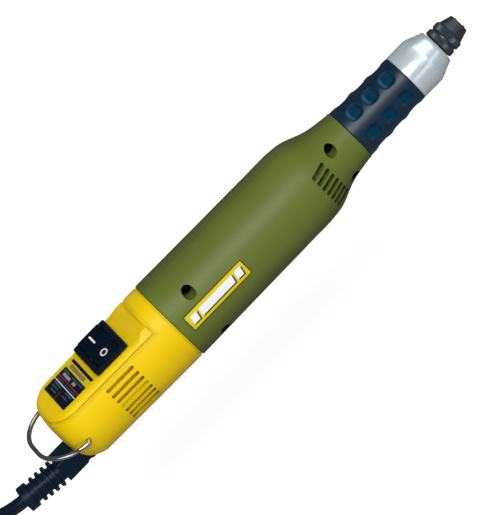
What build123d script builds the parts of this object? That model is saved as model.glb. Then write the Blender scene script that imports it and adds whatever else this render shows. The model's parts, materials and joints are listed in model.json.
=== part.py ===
from build123d import *
import math
import os

# Straight mains rotary tool, in millimetres. The spindle axis is X, with the chuck at +X.
# The origin is the centre of the nose collar's front face. +Z is the normal of the flat
# that carries the rocker switch, and +Y is the tool's left side.

# ---- driving dimensions ----
COLLAR_R = 10.0          # standard 20 mm collar
COLLAR_BACK = -16.0
COLLAR_TAPER = -7.0
COLLAR_FACE_R = 7.3
NECK_R = 8.8             # neck under the soft grip
NECK_BORE = 7.0
NECK_SPIGOT_R = 8.6      # front end of the neck, inside the collar
GRIP_BACK = -45.0
GRIP_BACK_R = 10.9
LIP_R = 11.15            # front lip of the barrel, behind the grip
BARREL_R = 17.5
SEAM_X = -139.1          # barrel meets end cap
CAP_FRONT_R = 17.3
CAP_BACK = -197.3
STEP_X = -146.4          # step wall in front of the switch flat
FLAT_Z = 12.2            # switch flat
FLAT_EDGE_R = 3.0
GROOVE_Z = 9.95          # groove round the flat
BARREL_VENT_PITCH = 2.58
CAP_VENT_PITCH = 2.6

FRONT_BEARING = (-12.5, -7.5)          # back and front faces
FRONT_BORE_R, FRONT_OUTER_R = 3.0, 7.5
REAR_BEARING = (-51.4, -46.4)
REAR_BORE_R, REAR_OUTER_R = 2.5, 8.0
MOTOR_FRONT_BEARING = (-86.2, -82.2)
MOTOR_REAR_BEARING = (-136.0, -132.0)
MOTOR_BEARING_R = 5.0
MOTOR_SHAFT_R = 1.5
CAN_R = 14.6
CAN_BACK = -122.0
MAGNET_R = 13.1          # bore of the can
ROTOR_SLOTS = 7
BRUSH_X = -124.0

SHANK_R = 1.65           # bore for 3.2 mm tool shanks
STEM_R = 2.3             # stem of the chuck body, inside the spindle
STEM_BACK = -5.0
CHUCK_BACK = 0.6
CHUCK_TIP = 11.8
CHUCK_R = 6.05
KNURL_ROOT = 5.9
MOUTH_R = 2.75
JAW_ANGLE = 20.0
JAW_R = 1.0
JAW_OPEN_R = 1.65        # gripping line radius with the chuck open

SWITCH_X = -163.4
SWITCH_HALF_X, SWITCH_HALF_Y = 6.5, 9.5
SWITCH_BOTTOM = 1.5
BEZEL_X, BEZEL_Y, BEZEL_TOP = 15.5, 21.0, 14.2
ROCKER_X, ROCKER_Y = 10.2, 17.4
ROCKER_PIVOT_Z = 12.4
ROCKER_PIN_R = 1.0
ROCKER_TIP = 9.5         # degrees from level

BAIL_X = -189.8
BAIL_WIRE_R = 0.88
BAIL_HOLE_R = 0.96
BAIL_HALF = 17.9
BAIL_DEPTH = 17.0
BAIL_BACK_R = 15.2       # large corners at the back
BAIL_FRONT_R = 1.5       # small corners beside the pivots
BAIL_TILT = 7.5

CABLE_R = 2.6
SLEEVE_Z = -11.0         # axis of the cable sleeve
CLAMP_X = -185.0
CLAMP_Z = SLEEVE_Z + 1.2
CLAMP_TOP = CLAMP_Z + 2.3
CLAMP_SCREW_Y = (-6.0, 6.0)
CLAMP_SCREW_R = 0.9
BOARD_Z0, BOARD_Z1 = -8.7, -7.1
LEAD_R = 0.55
CLEAR = 0.08             # running clearance
SIDES = (-1, 1)

# Barrel screws, a pair at +-z each: x, z, head y depth, head hole radius,
# then the boss: x0, x1, half width in y, inner z, outer z
SCREW_PAIRS = [
    (-54.5, 7.8, 6.3, 2.2, -57.0, -52.0, 12, 5.4, 12),
    (-126.7, 11.4, 9.6, 2.35, -129.9, -123.5, 14, 8.4, 15),
]
SCREWS = [(x, side * z, head_y, hole_r)
          for x, z, head_y, hole_r, *boss in SCREW_PAIRS for side in (1, -1)]
SCREW_R = 1.1

os.makedirs("parts", exist_ok=True)


# ---- helpers ----
def save(shape, name):
    export_step(shape, "parts/" + name + ".step")


def turned(points):
    """Solid of revolution about X from a closed (x, r) outline."""
    face = make_face(Polyline([(x, r, 0) for x, r in points], close=True))
    return revolve(face, axis=Axis.X, revolution_arc=360)


def ring(x0, x1, r0, r1):
    return turned([(x0, r0), (x1, r0), (x1, r1), (x0, r1)])


def cyl(x0, x1, r, y=0.0, z=0.0):
    """Cylinder along X."""
    return Pos((x0 + x1) / 2, y, z) * Rot(0, 90, 0) * Cylinder(r, abs(x1 - x0))


def cyl_y(y0, y1, r, x, z):
    return Pos(x, (y0 + y1) / 2, z) * Rot(90, 0, 0) * Cylinder(r, abs(y1 - y0))


def cyl_z(z0, z1, r, x, y):
    return Pos(x, y, (z0 + z1) / 2) * Cylinder(r, abs(z1 - z0))


def block(x0, x1, y0, y1, z0, z1):
    """Box between two corners. Each pair may be given in either order."""
    return Pos((x0 + x1) / 2, (y0 + y1) / 2, (z0 + z1) / 2) * Box(
        abs(x1 - x0), abs(y1 - y0), abs(z1 - z0)
    )


def slot_y(x0, x1, z, width, y0, y1):
    """Round-ended slot cut along Y, long axis along X."""
    r = width / 2
    middle = block(x0 + r, x1 - r, y0, y1, z - r, z + r)
    return middle + cyl_y(y0, y1, r, x0 + r, z) + cyl_y(y0, y1, r, x1 - r, z)


def around(count, shape, start=0):
    """Copies of a shape spaced evenly round the X axis, from a start angle."""
    return [Rot(start + 360 / count * k, 0, 0) * shape for k in range(count)]


def swept(path, r):
    """Round rod along a path."""
    return sweep(Plane(path @ 0, z_dir=path % 0) * Circle(r), path=path)


def group(shapes):
    return Compound(children=list(shapes))


def save_bearing(name, ends, bore, outside, ball_r):
    """Outer race, inner race and caged balls of a deep groove bearing."""
    x0, x1 = ends
    mid = (x0 + x1) / 2
    pitch_r = (bore + outside) / 2
    track = Pos(mid, 0, 0) * Rot(0, 90, 0) * Torus(pitch_r, ball_r + CLEAR)
    save(ring(x0, x1, pitch_r + ball_r * 0.55, outside) - track, name + "_outer_race")
    save(ring(x0, x1, bore, pitch_r - ball_r * 0.55) - track, name + "_inner_race")
    cage_x, cage_r = ball_r * 0.75, ball_r * 0.3
    balls = ring(mid - cage_x, mid + cage_x, pitch_r - cage_r, pitch_r + cage_r)
    for ball in around(7, Pos(mid, 0, pitch_r) * Sphere(ball_r)):
        balls += ball
    save(balls, name + "_balls")


RIGHT = block(-230, 40, -40, 0, -40, 40)
LEFT = block(-230, 40, 0, 40, -40, 40)

# ---- barrel half shells ----
# (x, r) of the curve from the lip to the straight part
SHOULDER = [
    (-46.4, LIP_R), (-48.1, 11.35), (-51.0, 11.75), (-53.9, 12.25), (-56.8, 13.0),
    (-59.7, 14.1), (-62.6, 15.3), (-65.5, 16.25), (-68.4, 16.7), (-71.3, 16.95),
    (-78.0, 17.05), (-85.8, 17.1),
]
# (x, r) from the shoulder to the rounded-off seam
BARREL_BACK = [
    (-85.8, 17.1), (-112.0, 17.25), (-135.0, 17.45), (SEAM_X + 0.4, BARREL_R),
    (SEAM_X, BARREL_R - 0.4),
]


def barrel_form(inset):
    """Outside form of the barrel, smaller in radius all round by the inset."""
    lip_r = LIP_R - inset
    lip = Line((GRIP_BACK, lip_r, 0), (-46.4, lip_r, 0))
    curve = Spline([(x, r - inset, 0) for x, r in SHOULDER])
    back = Polyline([(x, r - inset, 0) for x, r in BARREL_BACK]
                    + [(SEAM_X, 0, 0), (GRIP_BACK, 0, 0), (GRIP_BACK, lip_r, 0)])
    return revolve(make_face([lip, curve, back]), axis=Axis.X, revolution_arc=360)


barrel = barrel_form(0)
# shallow line along the joint of the two halves
barrel -= block(-140, -44, -0.1, 0.1, -20, 20) - barrel_form(0.2)
neck = turned([
    (FRONT_BEARING[0], 0), (FRONT_BEARING[0], NECK_SPIGOT_R),
    (COLLAR_BACK + 0.1, NECK_SPIGOT_R), (COLLAR_BACK, NECK_R),
    (GRIP_BACK, NECK_R), (GRIP_BACK, 0)])
cavity = turned([
    (-12.0, 0), (-12.0, NECK_BORE), (REAR_BEARING[1], NECK_BORE),
    (REAR_BEARING[1], REAR_OUTER_R), (REAR_BEARING[0], REAR_OUTER_R),
    (REAR_BEARING[0], 6.6), (-52.6, 6.6), (-52.6, 9.2), (-56.8, 10.3), (-60.5, 12.0),
    (-64.5, 13.9), (-69.0, 14.7), (-80.0, 14.7), (-80.0, CAN_R), (CAN_BACK, CAN_R),
    (CAN_BACK, 15.1), (-135.0, 15.1), (-135.0, 14.3), (-136.2, 14.3), (-136.2, 15.1),
    (-141.0, 15.1), (-141.0, 0)])
shell = (barrel + neck) - cavity

# screw bosses front and rear, with the screw heads on the right side
boss_limit = turned([
    (-52.6, 0), (-52.6, 10.6), (-57.0, 12.0), (-70.0, 15.6), (-133.0, 15.9), (-133.0, 0)])
for *screw, x0, x1, half_y, z0, z1 in SCREW_PAIRS:
    for side in (1, -1):
        shell += block(x0, x1, -half_y, half_y, side * z0, side * z1) & boss_limit
for x, z, head_y, hole_r in SCREWS:
    shell -= cyl_y(-20, -head_y + 2.0, hole_r, x, z)
    shell -= cyl_y(-head_y, 8.0, SCREW_R, x, z)
for k in range(-3, 4):
    for side in SIDES:
        shell -= slot_y(-66.7, -59.6, k * BARREL_VENT_PITCH, 1.7, side * 20, side * 8)

# name plate in its recess, on the right side, a little above the widest line
PLATE_X0, PLATE_X1, PLATE_HEIGHT = -135.0, -105.4, 7.0
plate_prism = extrude(RectangleRounded(PLATE_X1 - PLATE_X0, PLATE_HEIGHT, 0.5), 12, both=True)
plate_zone = Rot(-13.8, 0, 0) * (
    Pos((PLATE_X0 + PLATE_X1) / 2, -20, 0) * Rot(90, 0, 0) * plate_prism)
plate_floor = turned([(-141, 17.03), (-100, 16.77), (-100, 30), (-141, 30)])
shell -= plate_zone & plate_floor
plate_top = turned([(-138, 17.5), (-100, 17.2), (-100, 0), (-138, 0)])
save((plate_zone & plate_floor) & plate_top, "name_plate")
save(shell & RIGHT, "housing_right")
save(shell & LEFT, "housing_left")


def housing_screw(x, z, head_y):
    """Cross-slotted screw along Y with its head towards -Y."""
    screw = cyl_y(-head_y, -head_y + 2.0, 2.0, x, z) + cyl_y(-head_y + 1.9, 7.8, SCREW_R, x, z)
    for half_x, half_z in ((0.3, 1.3), (1.3, 0.3)):
        screw -= block(x - half_x, x + half_x, -head_y - 1, -head_y + 1.0,
                       z - half_z, z + half_z)
    return screw


save(group([housing_screw(x, z, head_y) for x, z, head_y, _ in SCREWS]), "housing_screws")

# ---- soft grip, one half on each half of the neck ----
grip = turned([
    (COLLAR_BACK, NECK_R), (COLLAR_BACK, COLLAR_R - 0.05), (COLLAR_BACK - 0.4, COLLAR_R),
    (GRIP_BACK + 0.4, GRIP_BACK_R), (GRIP_BACK, GRIP_BACK_R - 0.05), (GRIP_BACK, NECK_R)])
GRIP_SLOPE = (GRIP_BACK_R - COLLAR_R) / (COLLAR_BACK - GRIP_BACK)
# six rows of three shallow rounded pockets
for row in range(6):
    for x in (-21.95, -30.25, -38.4):
        r = COLLAR_R + (COLLAR_BACK - x) * GRIP_SLOPE
        pocket = Pos(x, -(r + 1.0), 0) * Rot(90, 0, 0) * extrude(
            RectangleRounded(6.0, 5.8, 2.0), 1.85, both=True)
        grip -= Rot(60 * row - 2.4, 0, 0) * pocket
save(grip & RIGHT, "grip_right")
save(grip & LEFT, "grip_left")

# ---- nose collar ----
save(turned([
    (0, 4.2), (0, COLLAR_FACE_R - 0.3), (-0.3, COLLAR_FACE_R), (COLLAR_TAPER, COLLAR_R),
    (COLLAR_BACK + 0.2, COLLAR_R), (COLLAR_BACK, COLLAR_R - 0.2), (COLLAR_BACK, NECK_R),
    (COLLAR_BACK + 0.1, NECK_SPIGOT_R), (FRONT_BEARING[0], NECK_SPIGOT_R),
    (FRONT_BEARING[0], FRONT_OUTER_R), (FRONT_BEARING[1], FRONT_OUTER_R),
    (FRONT_BEARING[1], 6.3), (-2.0, 6.3), (-2.0, 4.2)]), "nose_collar")

# ---- ball bearings ----
save_bearing("front_bearing", FRONT_BEARING, FRONT_BORE_R, FRONT_OUTER_R, 1.15)
save_bearing("rear_bearing", REAR_BEARING, REAR_BORE_R, REAR_OUTER_R, 1.4)
for name, ends in (("front", MOTOR_FRONT_BEARING), ("rear", MOTOR_REAR_BEARING)):
    save_bearing(f"motor_{name}_bearing", ends, MOTOR_SHAFT_R, MOTOR_BEARING_R, 0.8)

# ---- spindle with shank bore ----
save(turned([
    (STEM_BACK, SHANK_R), (STEM_BACK, STEM_R), (CHUCK_BACK, STEM_R),
    (CHUCK_BACK, FRONT_BORE_R), (FRONT_BEARING[0], FRONT_BORE_R), (FRONT_BEARING[0], 3.8),
    (-14.0, 3.8), (-14.0, 3.6), (-45.0, 3.6), (-45.0, 3.8), (REAR_BEARING[1], 3.8),
    (REAR_BEARING[1], REAR_BORE_R), (-64.0, REAR_BORE_R), (-64.0, 0), (-12.0, 0),
    (-12.0, SHANK_R)]), "spindle")

# ---- coupling from motor shaft to spindle ----
coupling = turned([
    (-57.5, REAR_BORE_R), (-57.5, 4.4), (-58.0, 4.6), (-70.0, 4.6), (-70.4, 4.2),
    (-70.4, MOTOR_SHAFT_R), (-64.4, MOTOR_SHAFT_R), (-64.4, REAR_BORE_R)])
for notch in around(3, block(-65.4, -63.4, -0.7, 0.7, 3.0, 6.0)):
    coupling -= notch
save(coupling, "shaft_coupling")

# ---- motor shaft, can and magnets ----
save(cyl(-135.4, -65.2, MOTOR_SHAFT_R), "motor_shaft")
can = turned([
    (-81.0, 4.6), (-81.0, 14.2), (-81.6, CAN_R), (CAN_BACK, CAN_R), (CAN_BACK, MAGNET_R),
    (-82.6, MAGNET_R), (-82.6, 9.0), (MOTOR_FRONT_BEARING[0], 9.0),
    (MOTOR_FRONT_BEARING[0], MOTOR_BEARING_R), (MOTOR_FRONT_BEARING[1], MOTOR_BEARING_R),
    (MOTOR_FRONT_BEARING[1], 4.6)])
for window in around(4, block(-83.0, -80.5, -1.6, 1.6, 9.6, 12.4), start=45):
    can -= window
save(can, "motor_can")
magnets = ring(-116.0, -88.0, 9.6, MAGNET_R) - block(-120, -84, -14, 14, -4.2, 4.2)
save(group(magnets.solids()), "field_magnets")

# ---- armature: core, windings, commutator ----
core = cyl(-114.0, -90.0, 9.0) - cyl(-114.1, -89.9, MOTOR_SHAFT_R)
slot = block(-114.1, -89.9, -0.9, 0.9, 6.8, 9.4) + block(-114.1, -89.9, -2.0, 2.0, 4.4, 7.2)
for cutter in around(ROTOR_SLOTS, slot):
    core -= cutter
save(core, "armature_core")
windings = ring(-116.4, -114.0, 2.6, 8.2) + ring(-90.0, -87.6, 2.6, 8.2)
for bundle in around(ROTOR_SLOTS, block(-115.9, -88.1, -1.9, 1.9, 4.5, 7.1)):
    windings += bundle
save(windings, "armature_windings")
commutator = ring(-127.5, -118.5, MOTOR_SHAFT_R, 4.0) + ring(-118.5, -116.9, MOTOR_SHAFT_R, 4.6)
for gap in around(ROTOR_SLOTS, block(-127.6, -119.0, -0.2, 0.2, 3.3, 4.2), start=12):
    commutator -= gap
save(commutator, "commutator")

# ---- cooling fan ----
fan = ring(-79.6, -72.0, MOTOR_SHAFT_R, 3.6) + ring(-79.6, -78.6, 3.4, 12.0)
for blade in around(9, block(-79.0, -73.0, -0.5, 0.5, 5.6, 11.9)):
    fan += blade
save(fan, "cooling_fan")

# ---- end bell: a bridge that carries the rear bearing and the brush holders ----
BELL_BACK = -137.6
bell = cyl(BRUSH_X, CAN_BACK, CAN_R) - cyl(-124.1, -121.9, 5.2)
bell += ring(BELL_BACK, BRUSH_X, 8.2, 10.0) & block(-138, -120, -15, 15, -7.3, 7.3)
bell += ring(BELL_BACK, -130.5, MOTOR_BEARING_R, 6.6)
bell += block(BELL_BACK, -136.0, -10, 10, -6.6, 6.6) & cyl(-138, -120, 10.0)
bell -= cyl(-136.1, -132.0, MOTOR_BEARING_R)
bell -= cyl(-138, -130, 2.2)
for side in (1, -1):  # room for the rear screw bosses
    bell -= block(-130.2, -123.2, -15, 15, side * 8.2, side * 16)
for side in SIDES:
    bell -= block(-126.3, -121.7, side * 4.4, side * 15.0, -2.6, 2.6)
save(bell, "motor_end_bell")

# ---- brush holders, brushes and springs ----
save(group([
    block(-126.3, -122.05, side * 5.2, side * 13.6, -2.6, 2.6)
    - block(-125.6, -122.4, side * 5.0, side * 12.8, -1.9, 1.9)
    for side in SIDES]), "brush_holders")
save(group([block(-125.5, -122.5, side * 4.06, side * 9.0, -1.8, 1.8) for side in SIDES]),
     "carbon_brushes")
springs = []
for side in SIDES:
    coil = Helix(pitch=0.68, height=3.0, radius=1.2, direction=(0, side, 0),
                 center=(BRUSH_X, side * 9.4, 0))
    springs.append(sweep(Plane(coil @ 0, z_dir=coil % 0) * Circle(0.16), path=coil, is_frenet=True))
save(group(springs), "brush_springs")

# ---- end cap ----
# (x, r) of the domed back; the first five also shape the groove cutters
CAP_DOME = [
    (-187.0, 16.75), (-190.5, 15.95), (-192.8, 14.7), (-195.0, 12.7), (-196.3, 10.0),
    (-197.1, 6.0), (CAP_BACK, 0),
]
cap_side = Polyline([
    (SEAM_X, 0, 0), (SEAM_X, 16.85, 0), (-139.55, 16.85, 0), (-139.95, CAP_FRONT_R, 0),
    (-146.0, CAP_FRONT_R, 0), (-187.0, 16.75, 0)])
cap_dome = Spline([(x, r, 0) for x, r in CAP_DOME], tangents=[(-1, -0.05, 0), (0, -1, 0)])
cap_axis = Line((CAP_BACK, 0, 0), (SEAM_X, 0, 0))
cap = revolve(make_face([cap_side, cap_dome, cap_axis]), axis=Axis.X, revolution_arc=360)
# the flat: step wall at the front, low lip, short ramp, then the flat itself
cap -= extrude(make_face(Polyline([
    (STEP_X, 0, 30), (STEP_X, 0, 13.2), (-149.4, 0, 13.2), (-151.3, 0, FLAT_Z),
    (-205, 0, FLAT_Z), (-205, 0, 30)], close=True)), 40, both=True)
hollow = turned([
    (-138, 0), (-138, 15.0), (-186.6, 14.5), (-191.5, 12.4), (-193.8, 9.0), (-194.6, 0)])
hollow -= block(-200, -144.6, -20, 20, FLAT_Z - 2.1, 20)
cap -= hollow
# spigot that the barrel halves clamp on
cap += turned([
    (-134.2, 12.8), (-134.2, 14.9), (-134.9, 14.9), (-134.9, 14.2), (-136.3, 14.2),
    (-136.3, 15.0), (SEAM_X, 15.0), (SEAM_X - 0.8, 15.4), (SEAM_X - 0.8, 12.8)])


def is_flat_rim(edge):
    """Long outer edge of the flat, leaving out the straight one across its front."""
    box = edge.bounding_box()
    level = abs(box.min.Z - FLAT_Z) < 1e-4 and abs(box.max.Z - FLAT_Z) < 1e-4
    return level and box.max.X < -150.0 and edge.length > 8 and box.size.X >= 1e-3


cap = fillet([edge for edge in cap.edges() if is_flat_rim(edge)], FLAT_EDGE_R)


def outside_cap(depth):
    """Space outside the cap, reaching this deep into its surface."""
    profile = [(-144.0, CAP_FRONT_R), (-146.0, CAP_FRONT_R)] + CAP_DOME[:5] + [(-199.0, 10.0)]
    return turned([(x, r - depth) for x, r in profile] + [(-199.0, 22.0), (-144.0, 22.0)])


# soft groove round the flat that turns up the front step, in three narrowing cuts
for half_w, depth in ((0.7, 0.15), (0.45, 0.38), (0.22, 0.58)):
    bottom = GROOVE_Z - half_w
    cap -= block(-200, STEP_X + half_w, -25, 25, bottom, GROOVE_Z + half_w) & outside_cap(depth)
    cap -= block(STEP_X, STEP_X + 2 * half_w, -25, 25, bottom, 25) & outside_cap(depth)
# vents, blind from outside with staggered passages behind
CAP_VENT_R = 17.1
for k in range(-3, 4):
    z = k * CAP_VENT_PITCH
    surface_y = math.sqrt(CAP_VENT_R ** 2 - z * z)
    for side in SIDES:
        cap -= slot_y(-173.0, -159.6, z, 1.25, side * (surface_y - 0.95), side * 20)
for k in range(-3, 4):
    z0 = k * CAP_VENT_PITCH + 0.32
    z1 = k * CAP_VENT_PITCH + (1.67 if k < 3 else 1.05)
    surface_y = math.sqrt(CAP_VENT_R ** 2 - z1 * z1)
    for side in SIDES:
        cap -= block(-171.2, -161.4, side * 8, side * (surface_y - 0.62), z0, z1)
# switch opening
cap -= block(SWITCH_X - SWITCH_HALF_X - 0.1, SWITCH_X + SWITCH_HALF_X + 0.1,
             -SWITCH_HALF_Y - 0.1, SWITCH_HALF_Y + 0.1, 5, 20)
# bail bosses and holes
cap += (cyl_y(-16.0, -11.0, 2.6, BAIL_X, 0) + cyl_y(11.0, 16.0, 2.6, BAIL_X, 0)) & turned([
    (-180, 0), (-180, 16.2), (-187, 16.1), (-190.5, 15.4), (-193, 14.0), (-194, 0)])
for side in SIDES:
    cap -= cyl_y(side * 20, side * 12.2, BAIL_HOLE_R, BAIL_X, 0)
# cable outlet
cap -= cyl(-200, -188, 3.95, 0, SLEEVE_Z)
# clamp floor with two screw posts, then the board rails
inside_limit = turned([
    (-140, 0), (-140, 17.0), (-187.0, 16.4), (-190.5, 15.6), (-192.8, 14.3), (-193.5, 0)])
FLOOR_X0, FLOOR_X1 = CLAMP_X - 3.4, CLAMP_X + 3.4
clamp_floor = block(FLOOR_X0, FLOOR_X1, -8.0, 8.0, -17, -13.9)
for side in SIDES:
    clamp_floor += block(FLOOR_X0, FLOOR_X1, side * 4.4, side * 7.6, -17, CLAMP_Z)
cap += clamp_floor & inside_limit
for y in CLAMP_SCREW_Y:
    cap -= cyl_z(-13.6, CLAMP_Z + 0.2, CLAMP_SCREW_R, CLAMP_X, y)
for side in SIDES:
    cap += block(-179.5, -147.0, side * 11.6, side * 15.4, -9.9, BOARD_Z0) & inside_limit
save(cap, "end_cap")

# ---- cable clamp and its screws ----
clamp = block(CLAMP_X - 3.0, CLAMP_X + 3.0, -7.6, 7.6, CLAMP_Z, CLAMP_TOP)
clamp -= cyl(-189, -181, CABLE_R, 0, SLEEVE_Z)
for y in CLAMP_SCREW_Y:
    clamp -= cyl_z(CLAMP_Z - 1, CLAMP_Z + 4, 1.15, CLAMP_X, y)
save(clamp, "cable_clamp")
save(group([
    cyl_z(CLAMP_Z - 3.6, CLAMP_TOP, CLAMP_SCREW_R, CLAMP_X, y)
    + cyl_z(CLAMP_TOP, CLAMP_TOP + 1.2, 1.9, CLAMP_X, y)
    - block(CLAMP_X - 1.2, CLAMP_X + 1.2, y - 0.25, y + 0.25, CLAMP_TOP + 0.6, CLAMP_TOP + 2)
    for y in CLAMP_SCREW_Y]), "cable_clamp_screws")

# ---- mains cable: straight through the cap, then it leans a little to the left and up
# along the ribbed part of its sleeve, sags and turns ----
BEND_X = -205.0
bend = Pos(BEND_X, 0, SLEEVE_Z - 0.9) * Rot(0, 2.2, -6.6)
sleeve_end = (bend * Pos(-18.0, 0, 0)).position
end_dir = (sleeve_end - (bend * Pos(-17.0, 0, 0)).position).normalized()
cable = swept(FilletPolyline([
    (-180.8, 0, SLEEVE_Z), (-193.4, 0, SLEEVE_Z), (-206.0, 0, SLEEVE_Z - 0.86),
    sleeve_end + end_dir * 4.5, sleeve_end + Vector(-14.6, 5.2, 0.5),
    sleeve_end + Vector(-25.6, 12.4, -0.6), sleeve_end + Vector(-38.0, 21.6, -2.6)],
    radius=24.0), CABLE_R)
save(cable, "mains_cable")

# ---- cable sleeve: square block, then four ribs, then an end collar ----
sleeve = cyl(-196.2, -190.0, 3.9, 0, SLEEVE_Z)
sleeve_block = Pos(-198.3, 0, SLEEVE_Z) * Rot(0, 90, 0) * extrude(
    RectangleRounded(9.3, 9.3, 0.7), 7.5, both=True)
dome_space = turned([
    (-180, 0), (-180, 20), (-187.0, 17.0), (-190.5, 16.25), (-192.9, 15.0), (-195.2, 13.0),
    (-196.6, 10.2), (-197.4, 6.0), (-197.6, 0)])
sleeve_block -= cyl_y(-6.0, 6.0, 1.9, -195.2, -16.6)     # notch under the block
sleeve += sleeve_block - dome_space


def bent_cyl(x0, x1, r):
    """Cylinder on the leaning axis of the sleeve."""
    return bend * cyl(x0 - BEND_X, x1 - BEND_X, r)


sleeve += bent_cyl(-221.5, -204.0, 3.95)
for k, x in enumerate((-208.1, -211.0, -213.8, -216.6)):
    sleeve += bent_cyl(x - 0.5, x + 0.5, 5.6 - 0.12 * k)
sleeve += bent_cyl(-223.0, -219.4, 5.25)
sleeve -= cable
save(sleeve, "cable_sleeve")

# ---- switch body and terminals ----
switch = Pos(SWITCH_X, 0, FLAT_Z) * extrude(
    RectangleRounded(BEZEL_X, BEZEL_Y, 0.8), BEZEL_TOP - FLAT_Z)
switch += block(SWITCH_X - SWITCH_HALF_X, SWITCH_X + SWITCH_HALF_X,
                -SWITCH_HALF_Y, SWITCH_HALF_Y, SWITCH_BOTTOM, FLAT_Z)
switch -= block(SWITCH_X - ROCKER_X / 2 - 0.3, SWITCH_X + ROCKER_X / 2 + 0.3,
                -ROCKER_Y / 2 - 0.35, ROCKER_Y / 2 + 0.35, 5.4, 20)
switch -= cyl(SWITCH_X - 5.9, SWITCH_X + 5.9, ROCKER_PIN_R + CLEAR, 0, ROCKER_PIVOT_Z)
save(switch, "switch_body")
save(group([block(SWITCH_X - 2.4, SWITCH_X + 2.4, y - 0.4, y + 0.4, -4.4, SWITCH_BOTTOM)
            for y in (-6.0, 0.0, 6.0)]), "switch_terminals")

# ---- rocker: two faces in a shallow V, drawn level and then tipped left side up ----
half_y = ROCKER_Y / 2
# (y, z above the pivot)
ROCKER_OUTLINE = [
    (-half_y, 2.3), (-4.4, 1.75), (0, 1.6), (4.4, 1.75), (half_y, 2.3),
    (half_y - 0.3, -1.0), (3.2, -4.0), (-3.2, -4.0), (-half_y + 0.3, -1.0),
]
rocker_face = make_face(Polyline(
    [(SWITCH_X, y, ROCKER_PIVOT_Z + z) for y, z in ROCKER_OUTLINE], close=True))
rocker = extrude(rocker_face, ROCKER_X / 2 - 0.05, both=True, dir=(1, 0, 0))
rocker += cyl(SWITCH_X - 5.8, SWITCH_X + 5.8, ROCKER_PIN_R, 0, ROCKER_PIVOT_Z)
save(Pos(SWITCH_X, 0, ROCKER_PIVOT_Z) * Rot(ROCKER_TIP, 0, 0)
     * Pos(-SWITCH_X, 0, -ROCKER_PIVOT_Z) * rocker, "rocker")

# ---- rating label on the flat ----
save(Pos(-180.9, -0.4, FLAT_Z) * extrude(RectangleRounded(16.0, 19.2, 0.8), 0.12),
     "rating_label")

# ---- rectifier board and components ----
board = block(-178.6, -148.0, -14.4, 14.4, BOARD_Z0, BOARD_Z1)
board &= turned([(-140, 0), (-140, 14.9), (-186, 14.4), (-186, 0)])
save(board, "rectifier_board")
save(group([
    block(-175.5, -166.5, -5.0, 5.0, BOARD_Z1, -4.9),
    cyl_z(BOARD_Z1, 1.0, 3.1, -155.0, -5.0),
    block(-160.5, -151.5, 2.0, 7.0, BOARD_Z1, -1.0),
    block(-163.8, -161.8, -3.5, 3.5, BOARD_Z1, -5.0)]), "board_components")

# ---- internal leads, a pair mirrored in y: from the cable, then to the brushes ----
CABLE_LEAD = [
    (-180.8, 1.2, SLEEVE_Z), (-179.9, 1.5, SLEEVE_Z + 1.0), (-179.7, 4.6, -5.0),
    (-177.0, 7.6, -2.9), (-171.0, 7.6, -2.9), (-166.0, 6.9, -3.0),
]
BRUSH_LEAD = [
    (-150.0, 8.6, -6.5), (-145.0, 10.4, -3.6), (-139.0, 11.6, -1.6), (-133.0, 12.0, -0.8),
    (-126.9, 12.0, -0.6),
]
save(group([
    swept(Spline([(x, side * y, z) for x, y, z in points],
                 tangents=[(1, 0, 0), (1, 0, 0)]), LEAD_R)
    for points in (CABLE_LEAD, BRUSH_LEAD) for side in SIDES]), "internal_leads")


# ---- hanging bail, drawn straight back and then tipped up to its resting angle ----
def bail_points(side):
    """Line ends and arc middles from one pivot to the back of the bail."""
    cos45 = math.cos(math.radians(45))
    front, back = BAIL_FRONT_R, BAIL_BACK_R
    back_x = -(BAIL_DEPTH - back)
    points = [
        (0, 12.6), (0, BAIL_HALF - front),
        (-front + front * cos45, BAIL_HALF - front + front * cos45),
        (-front, BAIL_HALF), (back_x, BAIL_HALF),
        (back_x - back * cos45, BAIL_HALF - back + back * cos45),
        (-BAIL_DEPTH, BAIL_HALF - back)]
    return [(x, side * y, 0) for x, y in points]


points = bail_points(-1) + bail_points(1)[::-1]
pieces = []
for k in range(0, 13, 3):
    pieces.append(Line(*points[k:k + 2]))
    if k < 12:
        pieces.append(ThreePointArc(*points[k + 1:k + 4]))
bail = swept(Wire([edge for piece in pieces for edge in piece.edges()]), BAIL_WIRE_R)
save(Pos(BAIL_X, 0, 0) * Rot(0, BAIL_TILT, 0) * bail, "hanging_bail")

# ---- chuck ----
jaw_tan, jaw_cos = (f(math.radians(JAW_ANGLE)) for f in (math.tan, math.cos))


def cone_r(x):
    """Radius of the sleeve's inner cone."""
    return MOUTH_R + jaw_tan * (CHUCK_TIP - x)


def jaw_rod(r, x0, x1):
    """Inclined rod in the XZ plane whose axis falls towards the spindle axis."""
    mid = (x0 + x1) / 2
    z = cone_r(mid) - 0.1 - JAW_R / jaw_cos
    return Pos(mid, 0, z) * Rot(0, 90 + JAW_ANGLE, 0) * Cylinder(r, (x1 - x0) / jaw_cos)


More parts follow.
